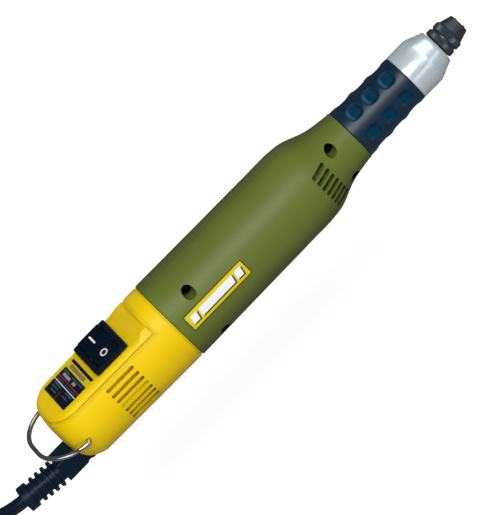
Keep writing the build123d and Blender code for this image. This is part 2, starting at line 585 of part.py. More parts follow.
chuck_body = turned([
    (CHUCK_BACK, KNURL_ROOT - 0.25), (0.85, KNURL_ROOT), (2.9, KNURL_ROOT),
    (3.15, KNURL_ROOT - 0.25), (3.15, 5.45), (3.9, 5.45), (3.9, 4.22), (4.7, 4.22), (4.7, 3.8),
    (5.2, 3.8), (5.2, 4.22), (7.2, 4.22), (8.9, cone_r(8.9) - 0.12), (8.9, SHANK_R),
    (STEM_BACK, SHANK_R), (STEM_BACK, STEM_R), (CHUCK_BACK, STEM_R)])
for hole in around(3, jaw_rod(JAW_R + 0.06, 4.6, 14.0)):
    chuck_body -= hole
save(chuck_body, "chuck_body")
save(turned([
    (4.0, 4.32), (4.0, CHUCK_R - 0.2), (4.2, CHUCK_R), (6.6, CHUCK_R), (7.0, 5.6), (7.2, 5.3),
    (11.55, 3.98), (CHUCK_TIP, 3.75), (CHUCK_TIP, MOUTH_R), (7.4, cone_r(7.4)), (6.6, 5.1),
    (5.3, 5.15), (4.66, 5.15), (4.66, 4.32)]), "chuck_sleeve")
save(ring(4.74, 5.16, 3.86, 4.95) - block(4, 6, -1.2, 1.2, 2, 6), "chuck_retaining_ring")

# each jaw is a rod trimmed by a 120 degree wedge
jaw = jaw_rod(JAW_R, 5.5, 12.6) & block(0, 12.2, -2, 2, 0, 8)
wedge_y = 6 * math.sin(math.radians(60))
wedge_z = JAW_OPEN_R + 6 * math.cos(math.radians(60))
jaw &= extrude(make_face(Polyline([
    (0, 0, JAW_OPEN_R), (0, wedge_y, wedge_z), (0, 6, 12), (0, -6, 12),
    (0, -wedge_y, wedge_z)], close=True)), 20, dir=(1, 0, 0))
for letter, placed_jaw in zip("abc", around(3, jaw)):
    save(placed_jaw, "chuck_jaw_" + letter)
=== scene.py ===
# Handheld mains rotary tool, lying along X with its axis on Y = Z = 0.
# The chuck points to +X and the cable leaves at -X. The rocker switch and the rating label
# face +Z, the name plate is on the -Y side, and the "right" halves are the -Y ones.
# Shapes are given in mm; materials, lights and camera in metres.
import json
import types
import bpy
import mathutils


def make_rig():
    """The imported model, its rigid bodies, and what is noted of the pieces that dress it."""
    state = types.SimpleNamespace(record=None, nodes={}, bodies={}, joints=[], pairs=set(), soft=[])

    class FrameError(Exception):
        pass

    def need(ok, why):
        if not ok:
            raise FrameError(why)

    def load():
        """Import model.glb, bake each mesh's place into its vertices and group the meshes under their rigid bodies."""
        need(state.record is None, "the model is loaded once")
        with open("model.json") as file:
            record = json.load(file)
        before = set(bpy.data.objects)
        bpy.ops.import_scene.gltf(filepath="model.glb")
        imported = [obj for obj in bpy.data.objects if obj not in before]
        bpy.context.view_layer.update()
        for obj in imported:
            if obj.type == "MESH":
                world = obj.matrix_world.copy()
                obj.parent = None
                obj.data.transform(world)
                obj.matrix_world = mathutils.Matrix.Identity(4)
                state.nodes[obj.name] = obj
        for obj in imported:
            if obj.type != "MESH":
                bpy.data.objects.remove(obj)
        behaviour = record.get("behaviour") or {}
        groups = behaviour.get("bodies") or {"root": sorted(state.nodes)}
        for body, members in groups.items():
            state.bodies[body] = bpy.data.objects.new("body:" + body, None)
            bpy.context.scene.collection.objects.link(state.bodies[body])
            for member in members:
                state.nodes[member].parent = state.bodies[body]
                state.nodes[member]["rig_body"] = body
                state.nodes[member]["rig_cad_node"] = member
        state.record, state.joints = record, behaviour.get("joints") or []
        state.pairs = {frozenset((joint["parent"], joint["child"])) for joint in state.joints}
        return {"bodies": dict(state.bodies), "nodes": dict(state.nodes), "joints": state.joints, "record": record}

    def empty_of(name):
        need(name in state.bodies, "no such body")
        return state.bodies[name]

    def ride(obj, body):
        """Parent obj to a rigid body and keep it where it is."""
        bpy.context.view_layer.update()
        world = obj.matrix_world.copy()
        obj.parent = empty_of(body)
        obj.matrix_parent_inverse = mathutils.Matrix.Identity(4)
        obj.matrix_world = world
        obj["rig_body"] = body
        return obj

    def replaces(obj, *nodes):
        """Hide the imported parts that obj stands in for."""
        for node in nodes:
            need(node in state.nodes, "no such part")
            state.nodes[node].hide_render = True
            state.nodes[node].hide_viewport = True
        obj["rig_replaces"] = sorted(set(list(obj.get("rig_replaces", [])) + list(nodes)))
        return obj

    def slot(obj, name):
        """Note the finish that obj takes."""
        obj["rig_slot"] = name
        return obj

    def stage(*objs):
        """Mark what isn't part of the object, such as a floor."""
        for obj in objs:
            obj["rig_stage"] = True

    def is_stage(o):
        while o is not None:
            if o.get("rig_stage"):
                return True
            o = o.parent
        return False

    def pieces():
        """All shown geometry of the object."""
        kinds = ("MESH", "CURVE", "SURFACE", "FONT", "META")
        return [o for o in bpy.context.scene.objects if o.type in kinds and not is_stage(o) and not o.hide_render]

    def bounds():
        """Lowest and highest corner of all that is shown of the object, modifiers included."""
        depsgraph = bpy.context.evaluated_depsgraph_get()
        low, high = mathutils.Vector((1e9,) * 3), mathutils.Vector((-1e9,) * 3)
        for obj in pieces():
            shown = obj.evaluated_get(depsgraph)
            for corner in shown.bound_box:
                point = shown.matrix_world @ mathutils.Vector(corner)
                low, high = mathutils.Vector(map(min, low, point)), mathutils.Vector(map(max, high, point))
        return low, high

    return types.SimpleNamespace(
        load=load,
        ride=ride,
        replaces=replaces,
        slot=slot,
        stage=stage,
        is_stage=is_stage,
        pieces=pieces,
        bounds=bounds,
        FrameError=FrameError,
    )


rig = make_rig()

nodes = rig.load()["nodes"]
cad_box = [list(v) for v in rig.bounds()]

import json
import math

import bmesh
import bpy
from mathutils import Matrix, Vector

MM = 0.001
scene = bpy.context.scene


# ------------------------------------------------------------------ node trees
class Graph:
    """Builds a node tree. add() makes a node and returns its outputs."""

    def __init__(self, tree):
        self.tree = tree
        tree.nodes.clear()

    def add(self, kind, inputs=None, **settings):
        """inputs maps socket names or indices to values or to the outputs to link."""
        node = self.tree.nodes.new(kind)
        for name, value in settings.items():
            setattr(node, name, value)
        for key, value in (inputs or {}).items():
            socket = node.inputs[key]
            if isinstance(value, bpy.types.NodeSocket):
                self.tree.links.new(value, socket)
            else:
                socket.default_value = value
        return node.outputs


class Material(Graph):
    """A surface built step by step, in object coordinates (metres)."""

    def __init__(self, name):
        self.material = bpy.data.materials.new(name)
        self.material.use_nodes = True
        super().__init__(self.material.node_tree)
        self.position = self.add("ShaderNodeTexCoord")["Object"]

    def noise(self, scale, detail=3.0, rough=0.55, vector=None):
        return self.add("ShaderNodeTexNoise", {
            "Scale": scale, "Detail": detail, "Roughness": rough,
            "Vector": vector or self.position})["Fac"]

    def ramp(self, value, *stops):
        """Colour ramp through two (position, colour) stops."""
        colour = self.add("ShaderNodeValToRGB", {0: value})[0]
        for element, (position, stop_colour) in zip(colour.node.color_ramp.elements, stops):
            element.position = position
            element.color = stop_colour
        return colour

    def remap(self, value, target, source=(0.0, 1.0)):
        """Maps the source range onto the target range, clamped."""
        return self.add("ShaderNodeMapRange", {
            "From Min": source[0], "From Max": source[1],
            "To Min": target[0], "To Max": target[1], "Value": value})[0]

    def mix(self, factor, first, second):
        return self.add("ShaderNodeMix", {0: factor, 6: first, 7: second}, data_type="RGBA")[2]

    def math(self, operation, *values, clamp=False):
        inputs = dict(enumerate(values))
        return self.add("ShaderNodeMath", inputs, operation=operation, use_clamp=clamp)[0]

    def dot(self, first, second):
        inputs = {0: first, 1: second}
        return self.add("ShaderNodeVectorMath", inputs, operation="DOT_PRODUCT")["Value"]

    def xyz(self, vector):
        return self.add("ShaderNodeSeparateXYZ", {0: vector})

    def rounded(self, radius):
        """Normal with the edges rounded off."""
        return self.add("ShaderNodeBevel", {"Radius": radius}, samples=6)[0]

    def edges(self, radius, gain):
        """0 on flat faces, rising along edges."""
        rounded = self.rounded(radius)
        normal = self.add("ShaderNodeNewGeometry")["Normal"]
        return self.remap(self.dot(rounded, normal), target=(gain, 0.0))

    def bump(self, height, strength, depth, normal=None):
        inputs = {"Strength": strength, "Distance": depth, "Height": height}
        if normal is not None:
            inputs["Normal"] = normal
        return self.add("ShaderNodeBump", inputs)[0]

    def finish(self, inputs):
        """Closes the tree with a Principled surface and returns the material."""
        surface = self.add("ShaderNodeBsdfPrincipled", inputs)[0]
        self.add("ShaderNodeOutputMaterial", {0: surface})
        return self.material


def linear(rgb):
    """sRGB 0-255 to linear RGBA."""
    out = []
    for value in rgb:
        value = value / 255.0
        out.append(value / 12.92 if value <= 0.04045 else ((value + 0.055) / 1.055) ** 2.4)
    return (*out, 1.0)


def tone(colour, factor, lift=0.0):
    """A darker or lighter version of a linear colour."""
    return tuple(min(1, c * factor + lift) for c in colour[:3]) + (1,)


# ------------------------------------------------------------------ material recipes
def vent_shade(m, shade, openness, vents):
    """Paints more shade into the vent slots than into shallow grooves. vents is (x from, x to, z below)."""
    place = m.xyz(m.position)
    slots = m.remap(openness, target=(1.0, 0.0), source=(0.30, 0.90))
    limits = (("X", "GREATER_THAN"), ("X", "LESS_THAN"), ("Z", "LESS_THAN"))
    for (axis, operation), limit in zip(limits, vents):
        slots = m.math("MULTIPLY", slots, m.math(operation, place[axis], limit))
    shade = m.math("MAXIMUM", shade, slots)
    # most of the painted shade is kept off the middle slot, which looks closed, so it stays light
    middle_z, middle_half = 0.0002, 0.0013
    middle = m.math("COMPARE", place["Z"], middle_z, middle_half)
    return m.math("MULTIPLY", shade, m.remap(middle, target=(1.0, 0.35)))


def moulded(name, rgb, rough=0.42, grain=2600.0, depth=20e-6, strength=0.35, edge_r=0.00035,
            wear=0.25, spec=0.5, var=0.06, dark=None, reach=0.003, deep=0.72, rim=0.0,
            vents=None):
    """Moulded plastic: fine grain, slight tone drift, rounded edges worn a little paler.

    grain, depth, strength: scale, height (m) and weight of the grain
    edge_r, wear: edge radius (m) and how pale the edges get
    var: tone drift either way; rim: how far painted shade deepens the tone on faces turned away
    dark, reach, deep: colour of the painted shade in hollows, how far they are felt (m), openness where it ends
    """
    m = Material(name)
    base = linear(rgb)
    colour = m.ramp(m.noise(38.0, detail=4.0), (0.3, tone(base, 1 - var)),
                    (0.7, tone(base, 1 + var)))
    speck = m.noise(grain * 0.6, detail=2.0)
    speck = m.remap(speck, target=(0.0, 0.10), source=(0.35, 0.75))
    colour = m.mix(speck, colour, tone(base, 0.8))

    edges = m.edges(edge_r * 1.4, gain=2.2)
    patches = m.ramp(m.noise(420.0), (0.42, (0, 0, 0, 1)), (0.62, (1, 1, 1, 1)))
    worn = m.math("MULTIPLY", edges, patches, clamp=True)
    colour = m.mix(m.remap(worn, target=(0.0, wear)), colour, tone(base, 1.35, lift=0.015))

    if dark is not None:
        # painted shade: ambient occlusion darkens the colour in slots, holes and other hollows
        openness = m.add("ShaderNodeAmbientOcclusion", {"Distance": reach}, samples=8)["AO"]
        shade = m.remap(openness, target=(1.0, 0.0), source=(0.12, deep))
        if vents:
            shade = vent_shade(m, shade, openness, vents)
        colour = m.mix(shade, colour, linear(dark))
    # painted shade: faces turned away from the camera get a darker colour
    if rim:
        facing = m.add("ShaderNodeLayerWeight", {"Blend": 0.5})["Facing"]
        facing = m.remap(facing, target=(0.0, rim), source=(0.25, 0.95))
        colour = m.mix(facing, colour, tone(base, 0.35))

    roughness = m.remap(m.noise(150.0, detail=5.0), target=(rough - 0.06, rough + 0.07))
    grain_height = m.noise(grain, detail=2.5, rough=0.6)
    return m.finish({
        "Base Color": colour, "Roughness": roughness, "Specular IOR Level": spec,
        "Normal": m.bump(grain_height, strength, depth, m.rounded(edge_r)),
        "Coat Roughness": 0.25})


def ink(name, rgb, **changes):
    """Thin print: plastic with a very fine grain and, by default, no wear."""
    settings = dict(rough=0.35, grain=3000, depth=6e-6, strength=0.2, edge_r=0.00005, wear=0.0)
    settings.update(changes)
    return moulded(name, rgb, **settings)


def metal(name, rgb, rough, lines=None, edge_r=0.0002, depth=6e-6, strength=0.5, var=0.08,
          metallic=1.0, rough_var=0.075):
    """Machined metal.

    lines: density of the turning marks along X, or None for an even finish
    depth, strength: height (m) and weight of the marks
    var, rough_var: how much the marks darken and roughen
    """
    m = Material(name)
    base = linear(rgb)
    vector = None
    if lines:
        inputs = {"Scale": (1, 0.02, 0.02), "Vector": m.position}
        vector = m.add("ShaderNodeMapping", inputs)[0]
    marks = m.noise(lines or 900.0, detail=4.0, rough=0.65, vector=vector)
    blotches = m.noise(90.0, detail=4.0)
    middle = (0.3, 0.7)
    colour = m.mix(m.remap(marks, target=(0.0, 1.0), source=middle), base, tone(base, 1 - var))
    blotches = m.remap(blotches, target=(0.0, 0.25), source=(0.4, 0.8))
    colour = m.mix(blotches, colour, tone(base, 0.8))
    rough_range = (rough - rough_var, rough + rough_var)
    return m.finish({
        "Base Color": colour, "Metallic": metallic,
        "Roughness": m.remap(marks, target=rough_range, source=middle),
        "Normal": m.bump(marks, strength, depth, m.rounded(edge_r))})


# ------------------------------------------------------------------ materials
# painted shade: the colour darkens in the screw holes and other hollows, and on faces turned away from the camera
OLIVE = moulded("olive_plastic", (103, 117, 46), rough=0.46, grain=2400, depth=14e-6,
                strength=0.28, edge_r=0.0003, wear=0.15, dark=(22, 30, 32), reach=0.0024,
                spec=0.30, rim=0.85)
# painted shade: the colour darkens in the vent slots, the groove round the flat and other hollows
YELLOW = moulded("yellow_plastic", (248, 210, 0), rough=0.42, grain=2800, depth=10e-6,
                 strength=0.2, edge_r=0.00028, wear=0.06, var=0.025, dark=(98, 58, 0),
                 reach=0.0015, deep=0.62, spec=0.22, vents=(-0.1738, -0.1588, 0.0092))
NAVY = moulded("navy_soft_plastic", (2, 40, 70), rough=0.36, grain=3200, depth=14e-6,
               strength=0.3, edge_r=0.00025, wear=0.2, spec=0.35)
SWITCH = moulded("switch_plastic", (1, 16, 32), rough=0.28, grain=3000, depth=8e-6,
                 strength=0.18, edge_r=0.0003, wear=0.35, spec=0.26)
RUBBER = moulded("sleeve_rubber", (2, 30, 48), rough=0.36, grain=2200, depth=18e-6,
                 strength=0.3, edge_r=0.0003, wear=0.5, spec=0.25)
CABLE = moulded("cable_jacket", (2, 26, 42), rough=0.22, grain=1800, depth=12e-6,
                strength=0.2, edge_r=0.0002, wear=0.2, spec=0.45)

ALUMINIUM = metal("collar_aluminium", (214, 228, 234), rough=0.26, lines=2600, edge_r=0.00025,
                  depth=2e-6, strength=0.05, var=0.02, metallic=0.55, rough_var=0.02)
BLACK_STEEL = metal("blackened_steel", (58, 68, 74), rough=0.38, lines=3000, edge_r=0.00008,
                    depth=4e-6, strength=0.3, var=0.15, metallic=0.6)
DARK_STEEL = metal("dark_steel", (84, 86, 90), rough=0.32, lines=3000, edge_r=0.00008,
                   depth=3e-6, strength=0.3, var=0.1, metallic=0.9)
STEEL = metal("bright_steel", (190, 192, 196), rough=0.22, edge_r=0.00015, depth=3e-6,
              strength=0.3)
WIRE = metal("bail_wire", (196, 196, 200), rough=0.10, edge_r=0.0001, depth=3e-6,
             strength=0.2, var=0.05)
SCREW = metal("screw_steel", (30, 34, 44), rough=0.32, edge_r=0.00015)
CORE = metal("core_laminations", (120, 122, 126), rough=0.42, lines=4200, depth=20e-6,
             strength=0.8)
COPPER = metal("copper_wire", (196, 112, 62), rough=0.32, lines=3200, depth=40e-6,
               strength=0.9)
BRASS = metal("brass", (200, 160, 88), rough=0.3)

FERRITE = moulded("ferrite", (58, 58, 60), rough=0.62, grain=900, depth=60e-6, strength=0.5)
CARBON = moulded("carbon", (40, 40, 42), rough=0.6, grain=1400, depth=40e-6, strength=0.4)
BOARD = moulded("board_laminate", (34, 104, 60), rough=0.35, grain=900, depth=20e-6,
                strength=0.3)
INNER = moulded("inner_plastic", (34, 34, 36), rough=0.5, grain=2000, depth=30e-6)
LEAD = moulded("lead_insulation", (30, 60, 120), rough=0.4, grain=1500, depth=20e-6,
               strength=0.2)
# dark ink for the painted shadow of the gap round the name plate
PLATE_GAP_SHADE = ink("plate_gap_painted_shade", (44, 44, 16), rough=0.5)
CORE_BROWN = moulded("core_brown", (104, 62, 36), rough=0.4, grain=1500, depth=20e-6,
                     strength=0.2)

WHITE_INK = ink("print_white", (248, 250, 250), rough=0.38, var=0.03)
BLACK_INK = ink("print_black", (5, 12, 22), rough=0.4, wear=0.05, spec=0.3)
NAVY_INK = ink("print_navy", (2, 16, 32), rough=0.38, wear=0.05, spec=0.3)
RED_INK = ink("print_red", (150, 26, 34))
GREY_INK = ink("print_grey", (152, 160, 166))
DIM_INK = ink("print_dim", (66, 90, 104))
GOLD_INK = ink("print_gold", (176, 150, 62))
PLATE_YELLOW = ink("print_yellow", (226, 206, 4), rough=0.34, depth=8e-6, edge_r=0.00008,
                   wear=0.05, var=0.03)


# ------------------------------------------------------------------ CAD pieces
# material: the pieces that wear it; every piece not listed is bright steel
WEARERS = {
    OLIVE: ("housing_right", "housing_left"),
    NAVY: ("grip_right", "grip_left"),
    ALUMINIUM: ("nose_collar",),
    YELLOW: ("end_cap",),
    SCREW: ("housing_screws",),
    PLATE_YELLOW: ("name_plate", "rating_label"),
    CORE: ("motor_can", "armature_core"),
    FERRITE: ("field_magnets",),
    INNER: ("motor_end_bell", "board_components", "cable_clamp", "cooling_fan"),
    BRASS: ("brush_holders", "switch_terminals", "shaft_coupling"),
    CARBON: ("carbon_brushes",),
    SWITCH: ("switch_body", "rocker"),
    BOARD: ("rectifier_board",),
    LEAD: ("internal_leads",),
    RUBBER: ("cable_sleeve",),
    CABLE: ("mains_cable",),
    DARK_STEEL: ("spindle",),
    COPPER: ("armature_windings", "commutator"),
    BLACK_STEEL: ("chuck_body", "chuck_sleeve"),
    WIRE: ("hanging_bail",),
}
material_of = {piece: material for material, pieces in WEARERS.items() for piece in pieces}


def dress(piece, material):
    """Gives a CAD piece its material and smooth shading with crisp edges."""
    if not piece.material_slots:
        piece.data.materials.append(material)
    for slot in piece.material_slots:
        slot.material = material
    weld = piece.modifiers.new("weld", "WELD")
    weld.merge_threshold = 1e-6
    split = piece.modifiers.new("sharp", "EDGE_SPLIT")
    split.split_angle = math.radians(30)
    piece.data.shade_smooth()
    if "custom_normal" in piece.data.attributes:
        piece.data.attributes.remove(piece.data.attributes["custom_normal"])


for name, piece in nodes.items():
    dress(piece, material_of.get(name, STEEL))


# ------------------------------------------------------------------ mesh helpers
def smooth(mesh, angle):
    """Smooth shading; open edges and those sharper than the angle (degrees) stay sharp."""
    mesh.shade_smooth()
    bm = bmesh.new()
    bm.from_mesh(mesh)
    limit = math.radians(angle)
    sharp = [len(e.link_faces) != 2 or e.calc_face_angle(0.0) > limit for e in bm.edges]
    bm.free()
    for edge, is_sharp in zip(mesh.edges, sharp):
        edge.use_edge_sharp = is_sharp


def mesh_object(name, verts, faces, material, body, slot, sharp):
    """Makes an object from mm coordinates, riding on the named body."""
    mesh = bpy.data.meshes.new(name)
    mesh.from_pydata([tuple(c * MM for c in v) for v in verts], [], faces)
    mesh.update()
    bm = bmesh.new()
    bm.from_mesh(mesh)
    bmesh.ops.recalc_face_normals(bm, faces=bm.faces)
    bm.to_mesh(mesh)
    bm.free()
    ob = bpy.data.objects.new(name, mesh)
    scene.collection.objects.link(ob)
    mesh.materials.append(material)
    smooth(mesh, sharp)
    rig.ride(ob, body)
    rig.slot(ob, slot)
    return ob


def ring_faces(rows, around):
    """Quads joining rows of points into a closed solid ring, last row to first."""
    faces = []
    for k in range(rows):
        k2 = (k + 1) % rows
        for i in range(around):
            i2 = (i + 1) % around
            faces.append((k * around + i, k * around + i2, k2 * around + i2, k2 * around + i))
    return faces


def tiles(quads, place, lift, thick, nu, nv):
    """Closed thin tiles, each from four (u, v) corners.

    place(u, v, h) gives the point at height h; nu, nv count the steps along each side.
    """
    verts, faces = [], []
    layer = (nu + 1) * (nv + 1)
    for q in quads:
        base = len(verts)
        for h in (lift, lift + thick):
            for j in range(nv + 1):
                for i in range(nu + 1):
                    a, b = i / nu, j / nv
                    weights = ((1 - a) * (1 - b), a * (1 - b), a * b, (1 - a) * b)
                    u = sum(w * corner[0] for w, corner in zip(weights, q))
                    v = sum(w * corner[1] for w, corner in zip(weights, q))
                    verts.append(place(u, v, h))

        def at(i, j, k):
            return base + k * layer + j * (nu + 1) + i

        for j in range(nv):
            for i in range(nu):
                faces.append((at(i, j, 1), at(i + 1, j, 1), at(i + 1, j + 1, 1), at(i, j + 1, 1)))
                faces.append((at(i, j, 0), at(i, j + 1, 0), at(i + 1, j + 1, 0), at(i + 1, j, 0)))
        for i in range(nu):
            faces.append((at(i, 0, 0), at(i + 1, 0, 0), at(i + 1, 0, 1), at(i, 0, 1)))
            faces.append((at(i, nv, 0), at(i, nv, 1), at(i + 1, nv, 1), at(i + 1, nv, 0)))
        for j in range(nv):
            faces.append((at(0, j, 0), at(0, j, 1), at(0, j + 1, 1), at(0, j + 1, 0)))
            faces.append((at(nu, j, 0), at(nu, j + 1, 0), at(nu, j + 1, 1), at(nu, j, 1)))
    return verts, faces


def printed(name, quads, place, material, body, slot, lift=0.0, thick=0.03, nu=6, nv=3):
    verts, faces = tiles(quads, place, lift, thick, nu, nv)
    return mesh_object(name, verts, faces, material, body, slot, sharp=40)


def rect(u0, u1, v0, v1, slant=0.0):
    return [(u0, v0), (u1, v0), (u1 + slant, v1), (u0 + slant, v1)]


# ------------------------------------------------------------------ soft grip, two halves
GRIP_X0, GRIP_X1 = -45.0, -16.0         # cable end and chuck end
GRIP_R0, GRIP_R1 = 10.9, 10.0           # outer radius at those ends
GRIP_INNER_R = 8.82
GRIP_GAP = 0.012                        # from the parting plane to each half
LIP_LENGTH, LIP_DROP = 0.45, 0.28       # rounding of the two ends
SEAM_STEPS, SEAM_DROP = 2.0, 0.16       # rounding towards the parting line
GRIP_STEPS_X, GRIP_STEPS_AROUND = 128, 190

# centres as (x, angle); angles are in degrees from -Y towards +Z
DIMPLES = [(x, 60.0 * k + 2.4) for x in (-21.95, -30.25, -38.4) for k in range(6)]
DIMPLE_HALF_X, DIMPLE_HALF_ARC = 3.05, 3.15
DIMPLE_POWER = 2.7                      # 2 is an ellipse, more is squarer
DIMPLE_RIM, DIMPLE_WALL = 1.14, 0.62    # outer edge and wall width, as parts of the half size
DIMPLE_DEPTH = 0.95
DIMPLE_REACH = 4.2                      # no dimple reaches farther, so the rest is skipped


def grip_radius(x, angle):
    base = GRIP_R1 + (GRIP_X1 - x) / (GRIP_X1 - GRIP_X0) * (GRIP_R0 - GRIP_R1)
    cut = 0.0
    for dimple_x, dimple_angle in DIMPLES:
        along = x - dimple_x
        turn = (angle - dimple_angle + 180.0) % 360.0 - 180.0
        arc = math.radians(turn) * base
        if abs(along) > DIMPLE_REACH or abs(arc) > DIMPLE_REACH:
            continue
        out = (abs(along / DIMPLE_HALF_X) ** DIMPLE_POWER
               + abs(arc / DIMPLE_HALF_ARC) ** DIMPLE_POWER) ** (1 / DIMPLE_POWER)
        t = min(1.0, max(0.0, (DIMPLE_RIM - out) / DIMPLE_WALL))
        cut += DIMPLE_DEPTH * (t * t * (3 - 2 * t))
    end = min(GRIP_X1 - x, x - GRIP_X0)
    lip = LIP_DROP * max(0.0, 1 - end / LIP_LENGTH) ** 2
    return base - cut - lip


def grip_half(name, node, side):
    """side -1 is the -Y half, 1 the +Y half."""
    nx, na = GRIP_STEPS_X, GRIP_STEPS_AROUND
    row = nx + 1
    verts, faces = [], []
    for outer in (True, False):
        for j in range(na + 1):
            angle = side * 90.0 + 180.0 * j / na
            if side > 0:
                angle = 90.0 + 180.0 * j / na
            turn = math.radians(angle)
            seam = min(j, na - j)
            drop = SEAM_DROP * max(0.0, 1 - seam / SEAM_STEPS) ** 2
            for i in range(row):
                x = GRIP_X0 + (GRIP_X1 - GRIP_X0) * i / nx
                r = grip_radius(x, angle) - drop if outer else GRIP_INNER_R
                y = side * GRIP_GAP if seam == 0 else -r * math.cos(turn)
                verts.append((x, y, r * math.sin(turn)))
    base = (na + 1) * row
    # outer and inner skins
    for j in range(na):
        for i in range(nx):
            a, b = j * row + i, (j + 1) * row + i
            faces.append((a, a + 1, b + 1, b))
            faces.append((base + a, base + b, base + b + 1, base + a + 1))
    # faces on the parting plane
    last = na * row
    for i in range(nx):
        faces.append((i, base + i, base + i + 1, i + 1))
        faces.append((last + i, last + i + 1, base + last + i + 1, base + last + i))
    # end faces
    for j in range(na):
        a, b = j * row, (j + 1) * row
        faces.append((a, b, base + b, base + a))
        faces.append((a + nx, base + a + nx, base + b + nx, b + nx))
    ob = mesh_object(name, verts, faces, GRIP, "housing", "navy_grip", sharp=50)
    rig.replaces(ob, node)


def grip_material():
    """Soft navy plastic with teal dimple floors; the tone follows the dimple's depth."""
    m = Material("grip_two_tone")
    place = m.xyz(m.position)
    across = m.add("ShaderNodeCombineXYZ", {"Y": place["Y"], "Z": place["Z"]})[0]
    radius = m.add("ShaderNodeVectorMath", {0: across}, operation="LENGTH")["Value"]
    undimpled = m.remap(place["X"], target=(GRIP_R0 * MM, GRIP_R1 * MM),
                        source=(GRIP_X0 * MM, GRIP_X1 * MM))
    depth = m.math("SUBTRACT", undimpled, radius)

    floor_mask = m.remap(depth, target=(0.0, 1.0), source=(0.00012, 0.00070))
    navy, teal = linear((0, 38, 60)), linear((0, 54, 80))
    drift = m.ramp(m.noise(60.0, detail=4.0), (0.3, tone(navy, 0.9)), (0.7, tone(navy, 1.1)))
    colour = m.mix(floor_mask, drift, teal)
    speck = m.noise(2600.0, detail=2.0)
    speck = m.remap(speck, target=(0.0, 0.16), source=(0.35, 0.75))
    colour = m.mix(speck, colour, linear((2, 22, 40)))

    # painted highlight: dimple walls that face +X, on the side turned towards +Y +Z, are made paler as if lit from the
    # chuck side
    normal = m.add("ShaderNodeNewGeometry")["Normal"]
    to_chuck = m.remap(m.xyz(normal)["X"], target=(0.0, 0.7), source=(0.12, 0.42))
    upward = m.dot(normal, (0.0, 0.574, 0.819))
    upward = m.remap(upward, target=(0.25, 1.0), source=(-0.4, 0.3))
    lit = m.math("MULTIPLY", to_chuck, upward, clamp=True)
    inside = m.remap(depth, target=(0.0, 1.0), source=(0.00004, 0.00030))
    colour = m.mix(m.math("MULTIPLY", lit, inside, clamp=True), colour, linear((52, 104, 124)))

    # the dimples are duller than the skin
    skin_to_wall = (0.00004, 0.00040)
    fine = m.remap(m.noise(170.0, detail=5.0), target=(0.37, 0.46))
    matt = m.remap(depth, target=(0.0, 0.28), source=skin_to_wall)
    grain = m.noise(3000.0, detail=2.5, rough=0.6)
    return m.finish({
        "Base Color": colour, "Roughness": m.math("ADD", fine, matt),
        "Normal": m.bump(grain, strength=0.3, depth=12e-6),
        "Specular IOR Level": m.remap(depth, target=(0.50, 0.10), source=skin_to_wall)})


GRIP = grip_material()
grip_half("grip_skin_right", "grip_right", side=-1)
grip_half("grip_skin_left", "grip_left", side=1)

# ------------------------------------------------------------------ knurled chuck pieces
KNURL_TEETH = 52
KNURL_PROFILE = (0.0, 0.55, 1.0, 0.55)  # cut at the four points of each tooth, times depth


def subdivided(outline, step=0.6):
    """Adds points along the long runs of an (x, radius, knurled) outline."""
    out = []
    for k, (x, r, knurled) in enumerate(outline):
        x2, r2, knurled2 = outline[(k + 1) % len(outline)]
        out.append((x, r, knurled))
        extra = int(math.hypot(x2 - x, r2 - r) // step)
        for i in range(1, extra + 1):
            t = i / (extra + 1)
            out.append((x + (x2 - x) * t, r + (r2 - r) * t, knurled and knurled2))
    return out


def knurled_ring(name, outline, body, depth):
    """Closed body of revolution about X with straight knurling on the flagged points."""
    outline = subdivided(outline)
    around = KNURL_TEETH * len(KNURL_PROFILE)
    verts = []
    for x, r, knurled in outline:
        for i in range(around):
            angle = 2 * math.pi * i / around
            cut = depth * KNURL_PROFILE[i % 4] if knurled else 0.0
            verts.append((x, (r - cut) * math.cos(angle), (r - cut) * math.sin(angle)))
    faces = ring_faces(len(outline), around)
    return mesh_object(name, verts, faces, BLACK_STEEL, body, "black_steel", sharp=32)


SLEEVE_FRONT_X, BORE_FRONT_R, BORE_ANGLE = 11.8, 2.75, 20


def bore(x):
    """Radius of the sleeve's conical bore, narrowest at the front."""
    return BORE_FRONT_R + math.tan(math.radians(BORE_ANGLE)) * (SLEEVE_FRONT_X - x)


# x, radius, knurled
SLEEVE_OUTLINE = [
    (4.0, 4.32, 0), (4.0, 5.80, 0), (4.12, 5.92, 1), (4.28, 6.05, 1), (6.42, 6.05, 1),
    (6.62, 5.92, 1), (6.74, 5.78, 0), (6.92, 5.50, 0), (7.12, 5.33, 0), (7.3, 5.27, 0),
    (11.30, 4.06, 0), (11.60, 3.95, 0), (11.75, 3.84, 0), (SLEEVE_FRONT_X, 3.70, 0),
    (SLEEVE_FRONT_X, 2.9, 0), (11.72, 2.79, 0), (11.5, bore(11.5), 0), (7.4, bore(7.4), 0),
    (6.6, 5.1, 0), (4.66, 5.15, 0), (4.66, 4.32, 0),
]
REAR_RING_OUTLINE = [
    (0.62, 5.5, 0), (0.62, 5.80, 0), (0.74, 5.98, 1), (0.90, 6.12, 1), (2.84, 6.12, 1),
    (3.02, 5.98, 1), (3.13, 5.80, 0), (3.13, 5.5, 0),
]
sleeve = knurled_ring("chuck_sleeve_knurled", SLEEVE_OUTLINE, "chuck_sleeve", depth=0.26)
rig.replaces(sleeve, "chuck_sleeve")
rear_ring = knurled_ring("chuck_rear_ring_knurled", REAR_RING_OUTLINE, "spindle", depth=0.2)

# ------------------------------------------------------------------ name plate print and its painted edge shadow
PLATE_ANGLE = math.radians(13.8)        # of the plate's centre line, from -Y towards +Z
PLATE_ARC_R = 17.3                      # turns arc length into angle
PLATE_X0, PLATE_X1 = -135.0, -105.4
PLATE_HALF = 3.5                        # half height, along the arc
PLATE_BORDER = 0.38


